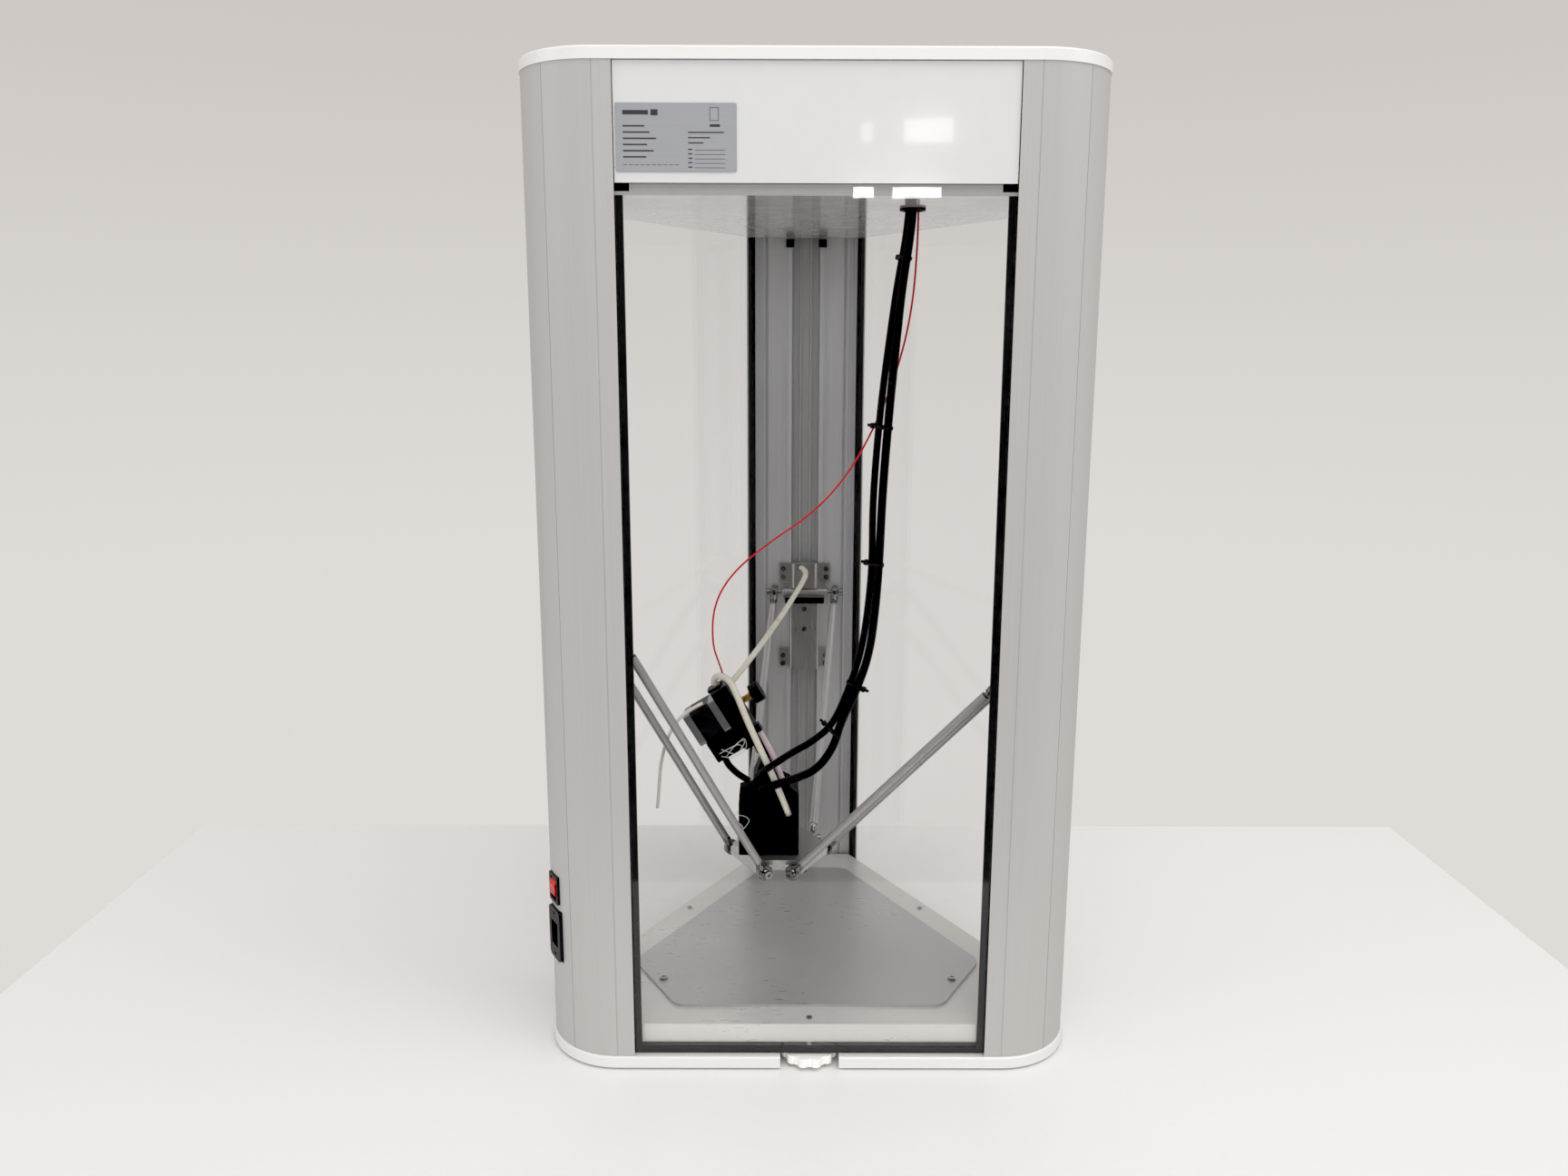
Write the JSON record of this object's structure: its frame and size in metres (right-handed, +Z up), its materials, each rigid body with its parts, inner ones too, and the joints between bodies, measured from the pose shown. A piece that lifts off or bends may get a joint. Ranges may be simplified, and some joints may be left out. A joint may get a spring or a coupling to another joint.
{
  "type": "enclosed delta 3d printer",
  "caption": "Tall rounded triangular cabinet with clear panes, round bed tray and a rod-hung print head carried by slides on the corner columns.",
  "frame": {"origin": "under the middle of the whole machine, on the table", "axes": "+Z up, the flat front pane faces -Y, +X to the viewer's right"},
  "size_m": [0.489, 0.4452, 0.875],
  "materials": {
    "white_paint": "satin",
    "white_gloss": "gloss",
    "white_plastic": "satin",
    "anodised": "satin",
    "inner_alu": "satin",
    "clear": "clear",
    "seal": "matt",
    "plate_grey": "satin",
    "bed": "satin",
    "steel": "satin",
    "belt": "matt",
    "black_metal": "satin",
    "board": "satin",
    "black_plastic": "satin",
    "red_plastic": "gloss",
    "rod_alu": "satin",
    "brass": "satin",
    "ivory": "satin",
    "black_cable": "matt",
    "red_filament": "gloss"
  },
  "bodies": {
    "frame": {"feet": "seal", "base_plate": "white_paint", "top_cap": "white_paint", "column_rear": "anodised", "column_left": "anodised", "column_right": "anodised", "column_covers": "anodised", "side_panes": "clear", "header_panels": "white_gloss", "pane_seals": "seal", "ceiling_plate": "plate_grey", "cable_grommet": "seal", "data_plate": "plate_grey", "rail_stops": "seal", "bed_tray": "inner_alu", "bed_plate": "bed", "bed_screws": "steel", "tower_belts": "belt", "tower_motors": "black_metal", "power_supply": "steel", "control_board": "board", "power_inlet": "black_plastic", "switch_bezel": "black_plastic", "cable_trunk": "black_cable", "cable_ties": "black_plastic", "filament_strand": "red_filament"},
    "pane_front": {"pane_front": "clear"},
    "rocker_switch": {"rocker_switch": "red_plastic"},
    "effector": {"effector_plate": "anodised", "effector_bolts": "steel", "hotend": "black_metal", "hotend_shroud": "black_plastic", "extruder_motor": "black_metal", "extruder_body": "black_plastic", "feed_tube": "ivory"},
    "fan_rotor": {"fan_rotor": "black_plastic"},
    "drive_gear": {"drive_gear": "brass"},
    "tension_knob": {"tension_knob": "black_plastic"},
    "carriage_rear": {"carriage_rear": "inner_alu", "carriage_bolts_rear": "steel", "hanger_tube": "ivory"},
    "drive_pulley_rear": {"drive_pulley_rear": "steel"},
    "idler_rear": {"idler_rear": "steel"},
    "rod_rear_a": {"rod_rear_a": "rod_alu"},
    "rod_rear_b": {"rod_rear_b": "rod_alu"},
    "carriage_left": {"carriage_left": "inner_alu", "carriage_bolts_left": "steel"},
    "drive_pulley_left": {"drive_pulley_left": "steel"},
    "idler_left": {"idler_left": "steel"},
    "rod_left_a": {"rod_left_a": "rod_alu"},
    "rod_left_b": {"rod_left_b": "rod_alu"},
    "carriage_right": {"carriage_right": "inner_alu", "carriage_bolts_right": "steel"},
    "drive_pulley_right": {"drive_pulley_right": "steel"},
    "idler_right": {"idler_right": "steel"},
    "rod_right_a": {"rod_right_a": "rod_alu"},
    "rod_right_b": {"rod_right_b": "rod_alu"},
    "levelling_wheel_front": {"levelling_wheel_front": "white_plastic"},
    "levelling_wheel_right": {"levelling_wheel_right": "white_plastic"},
    "levelling_wheel_left": {"levelling_wheel_left": "white_plastic"}
  },
  "joints": [
    {"name": "lift", "type": "slide", "parent": "frame", "child": "carriage_left", "axis": [0, 0, 1], "range_m": [-0.0758, 0.3255], "deforming": ["cable_trunk", "cable_ties", "filament_strand"]},
    {"name": "lift_right", "type": "slide", "parent": "frame", "child": "carriage_right", "axis": [0, 0, 1], "range_m": [-0.0758, 0.3255]},
    {"name": "reach", "type": "slide", "parent": "carriage_left", "child": "effector", "axis": [0.0383, 0.9483, 0.315], "range_m": [-0.012, 0.012], "deforming": ["hanger_tube"]},
    {"name": "rear_slide", "type": "slide", "parent": "carriage_left", "child": "carriage_rear", "axis": [0, 0, 1], "range_m": [-0.0132, 0.0132]},
    {"name": "rod_rear_a_ball", "type": "hinge", "parent": "carriage_rear", "child": "rod_rear_a", "pos_m": [-0.03495, 0.16305, 0.36717], "axis": [0.9947, -0.0859, -0.0558], "range_deg": [-2.89, 2.89]},
    {"name": "rod_rear_b_ball", "type": "hinge", "parent": "carriage_rear", "child": "rod_rear_b", "pos_m": [0.03495, 0.16305, 0.36717], "axis": [0.9947, -0.0859, -0.0558], "range_deg": [-2.89, 2.89]},
    {"name": "rod_left_a_ball", "type": "hinge", "parent": "carriage_left", "child": "rod_left_a", "pos_m": [-0.16612, -0.18522, 0.39462], "axis": [0.9061, -0.1659, 0.3891], "range_deg": [-2.36, 2.36]},
    {"name": "rod_left_b_ball", "type": "hinge", "parent": "carriage_left", "child": "rod_left_b", "pos_m": [-0.20107, -0.12468, 0.39462], "axis": [0.9061, -0.1659, 0.3891], "range_deg": [-2.36, 2.36]},
    {"name": "rod_right_a_ball", "type": "hinge", "parent": "carriage_right", "child": "rod_right_a", "pos_m": [0.20107, -0.12468, 0.35764], "axis": [0.7865, 0.1659, -0.5949], "range_deg": [-2.36, 2.36]},
    {"name": "rod_right_b_ball", "type": "hinge", "parent": "carriage_right", "child": "rod_right_b", "pos_m": [0.16612, -0.18522, 0.35764], "axis": [0.7865, 0.1659, -0.5949], "range_deg": [-2.36, 2.36]},
    {"name": "drive_pulley_rear_spin", "type": "hinge", "parent": "frame", "child": "drive_pulley_rear", "pos_m": [0, 0.17905, 0.815], "axis": [0, 1, 0], "range_deg": [-2870, 668]},
    {"name": "idler_rear_spin", "type": "hinge", "parent": "frame", "child": "idler_rear", "pos_m": [0, 0.17905, 0.03], "axis": [0, 1, 0], "range_deg": [-2870, 668]},
    {"name": "drive_pulley_left_spin", "type": "hinge", "parent": "frame", "child": "drive_pulley_left", "pos_m": [-0.19745, -0.16295, 0.815], "axis": [-0.866, -0.5, 0], "range_deg": [-2870, 668]},
    {"name": "idler_left_spin", "type": "hinge", "parent": "frame", "child": "idler_left", "pos_m": [-0.19745, -0.16295, 0.03], "axis": [-0.866, -0.5, 0], "range_deg": [-2870, 668]},
    {"name": "drive_pulley_right_spin", "type": "hinge", "parent": "frame", "child": "drive_pulley_right", "pos_m": [0.19745, -0.16295, 0.815], "axis": [0.866, -0.5, 0], "range_deg": [-2870, 668]},
    {"name": "idler_right_spin", "type": "hinge", "parent": "frame", "child": "idler_right", "pos_m": [0.19745, -0.16295, 0.03], "axis": [0.866, -0.5, 0], "range_deg": [-2870, 668]},
    {"name": "levelling_front_turn", "type": "hinge", "parent": "frame", "child": "levelling_wheel_front", "pos_m": [0, -0.19795, 0.0075], "axis": [0, 0, 1], "continuous": true},
    {"name": "levelling_right_turn", "type": "hinge", "parent": "frame", "child": "levelling_wheel_right", "pos_m": [0.12904, 0.02555, 0.0075], "axis": [0, 0, 1], "continuous": true},
    {"name": "levelling_left_turn", "type": "hinge", "parent": "frame", "child": "levelling_wheel_left", "pos_m": [-0.12904, 0.02555, 0.0075], "axis": [0, 0, 1], "continuous": true},
    {"name": "rocker_tilt", "type": "hinge", "parent": "frame", "child": "rocker_switch", "pos_m": [-0.22445, -0.17854, 0.1615], "axis": [-0.5, 0.866, 0], "range_deg": [-10, 10]},
    {"name": "front_pane_pull", "type": "slide", "parent": "frame", "child": "pane_front", "axis": [0, -1, 0], "range_m": [0, 0.15]},
    {"name": "drive_gear_spin", "type": "hinge", "parent": "effector", "child": "drive_gear", "pos_m": [-0.0845, -0.04695, 0.2895], "axis": [0.8545, 0, 0.5195], "continuous": true},
    {"name": "tension_knob_turn", "type": "hinge", "parent": "effector", "child": "tension_knob", "pos_m": [-0.08357, -0.04695, 0.28796], "axis": [0.8545, 0, 0.5195], "range_deg": [-720, 720]},
    {"name": "fan_spin", "type": "hinge", "parent": "effector", "child": "fan_rotor", "pos_m": [-0.0676, -0.06145, 0.1719], "axis": [1, 0, 0], "continuous": true}
  ],
  "couplings": [
    {"joint": "lift_right", "follows": "lift", "ratio": 1},
    {"joint": "rear_slide", "follows": "reach", "ratio": 1.0915},
    {"joint": "rod_rear_a_ball", "follows": "reach", "rad_per_m": 4.1836},
    {"joint": "rod_rear_b_ball", "follows": "reach", "rad_per_m": 4.1836},
    {"joint": "rod_left_a_ball", "follows": "reach", "rad_per_m": 3.4118},
    {"joint": "rod_left_b_ball", "follows": "reach", "rad_per_m": 3.4118},
    {"joint": "rod_right_a_ball", "follows": "reach", "rad_per_m": 3.4118},
    {"joint": "rod_right_b_ball", "follows": "reach", "rad_per_m": 3.4118},
    {"joint": "drive_pulley_rear_spin", "follows": "lift", "rad_per_m": -152.67},
    {"joint": "idler_rear_spin", "follows": "lift", "rad_per_m": -152.67},
    {"joint": "drive_pulley_left_spin", "follows": "lift", "rad_per_m": -152.67},
    {"joint": "idler_left_spin", "follows": "lift", "rad_per_m": -152.67},
    {"joint": "drive_pulley_right_spin", "follows": "lift", "rad_per_m": -152.67},
    {"joint": "idler_right_spin", "follows": "lift", "rad_per_m": -152.67}
  ]
}
